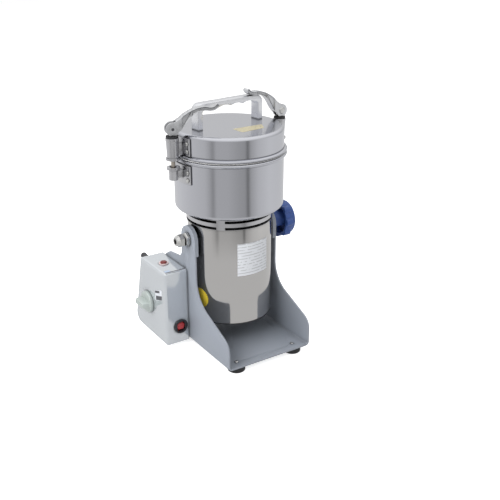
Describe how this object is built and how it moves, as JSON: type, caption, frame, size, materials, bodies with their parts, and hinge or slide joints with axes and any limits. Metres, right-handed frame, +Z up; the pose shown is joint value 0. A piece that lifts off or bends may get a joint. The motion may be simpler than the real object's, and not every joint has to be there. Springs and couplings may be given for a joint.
{
  "type": "electric spice grinder",
  "caption": "Swing-type electric spice grinder: a lidded steel grinding bowl on a motor tube that tips in a grey U-shaped stand with a side control box.",
  "frame": {"origin": "middle of the object's footprint, on the floor", "axes": "+Z up, +X to the right seen from the front, -Y towards the front; the pivot axis of the bowl lies along X"},
  "size_m": [0.2354, 0.2268, 0.3906],
  "materials": {
    "painted_steel": "smooth light grey paint",
    "satin_steel": "fine satin",
    "polished_steel": "mirror polish",
    "plated_steel": "bright plating",
    "hard_steel": "ground",
    "black_rubber": "matte",
    "pale_rubber": "matte",
    "dark_steel": "blackened",
    "pale_plastic": "smooth",
    "black_plastic": "fine grain",
    "blue_plastic": "slight sheen",
    "brass": "turned",
    "red_plastic": "gloss",
    "silver_plastic": "metallic",
    "motor_iron": "raw laminations",
    "cast_alloy": "as cast",
    "copper": "varnished copper",
    "carbon": "pressed carbon"
  },
  "bodies": {
    "stand": {"stand_frame": "painted_steel", "pivot_pads": "painted_steel", "feet": "black_rubber", "foot_screws": "plated_steel", "control_box": "polished_steel", "box_screws": "plated_steel", "timer_body": "black_plastic", "switch_body": "black_plastic", "reset_body": "pale_plastic", "cable_gland": "black_plastic"},
    "swing": {"motor_housing": "polished_steel", "vent_ring": "satin_steel", "bottom_cap": "black_plastic", "upper_shield": "cast_alloy", "lower_shield": "cast_alloy", "stator_core": "motor_iron", "field_coils": "copper", "brush_holders": "brass", "brushes": "carbon", "upper_bearing": "plated_steel", "lower_bearing": "plated_steel", "left_stud": "plated_steel", "right_stud": "plated_steel", "pivot_washers": "plated_steel", "left_pivot_nuts": "plated_steel", "bowl": "satin_steel", "bowl_screws": "plated_steel", "shaft_seal": "black_rubber", "lower_cups": "satin_steel", "bowl_brackets": "satin_steel", "bowl_bracket_screws": "plated_steel"},
    "rotor": {"motor_shaft": "plated_steel", "rotor_core": "motor_iron", "commutator": "copper", "cooling_fan": "black_plastic", "cutters": "hard_steel", "cutter_spacers": "plated_steel", "cutter_nut": "plated_steel"},
    "lid": {"lid_shell": "satin_steel", "lid_liner": "satin_steel", "lid_gasket": "pale_rubber", "lid_handle": "satin_steel", "handle_screws": "plated_steel", "clamp_sleeves": "satin_steel", "cam_washers": "black_rubber", "lid_brackets": "satin_steel", "lid_bracket_screws": "plated_steel"},
    "left_rod": {"left_rod": "plated_steel"},
    "left_lever": {"left_lever": "satin_steel", "left_lever_pin": "dark_steel"},
    "right_rod": {"right_rod": "plated_steel"},
    "right_lever": {"right_lever": "satin_steel", "right_lever_pin": "dark_steel"},
    "clamping_knob": {"clamping_knob": "blue_plastic", "knob_insert": "brass"},
    "timer_knob": {"timer_knob": "silver_plastic", "timer_shaft": "plated_steel"},
    "rocker": {"rocker": "red_plastic"},
    "reset_button": {"reset_button": "red_plastic"}
  },
  "joints": [
    {"name": "swing_tilt", "type": "hinge", "parent": "stand", "child": "swing", "pos_m": [0.01108, -0.00088, 0.181], "axis": [1, 0, 0], "range_deg": [0, 90]},
    {"name": "rotor_spin", "type": "hinge", "parent": "swing", "child": "rotor", "pos_m": [0.01108, -0.00088, 0.181], "axis": [0, 0, 1], "continuous": true},
    {"name": "lid_lift", "type": "slide", "parent": "swing", "child": "lid", "axis": [0, 0, 1], "range_m": [0, 0.1]},
    {"name": "left_rod_turn", "type": "hinge", "parent": "lid", "child": "left_rod", "pos_m": [-0.08555, -0.00933, 0.352], "axis": [0, 0, 1], "range_deg": [-80, 0]},
    {"name": "left_lever_cam", "type": "hinge", "parent": "left_rod", "child": "left_lever", "pos_m": [-0.08555, -0.00933, 0.352], "axis": [-0.225, -0.9744, 0], "range_deg": [0, 100]},
    {"name": "right_rod_turn", "type": "hinge", "parent": "lid", "child": "right_rod", "pos_m": [0.10772, 0.00757, 0.352], "axis": [0, 0, 1], "range_deg": [0, 80]},
    {"name": "right_lever_cam", "type": "hinge", "parent": "right_rod", "child": "right_lever", "pos_m": [0.10772, 0.00757, 0.352], "axis": [-0.0349, 0.9994, 0], "range_deg": [0, 100]},
    {"name": "knob_turn", "type": "hinge", "parent": "swing", "child": "clamping_knob", "pos_m": [0.09609, -0.00088, 0.181], "axis": [1, 0, 0], "range_deg": [0, 360]},
    {"name": "timer_turn", "type": "hinge", "parent": "stand", "child": "timer_knob", "pos_m": [-0.10082, 0.06312, 0.062], "axis": [-1, 0, 0], "range_deg": [0, 300]},
    {"name": "rocker_tilt", "type": "hinge", "parent": "stand", "child": "rocker", "pos_m": [-0.07662, 0.00962, 0.0368], "axis": [1, 0, 0], "range_deg": [0, 16]},
    {"name": "reset_press", "type": "slide", "parent": "stand", "child": "reset_button", "axis": [0, 0, -1], "range_m": [0, 0.002], "stiffness_N_per_m": 400}
  ]
}
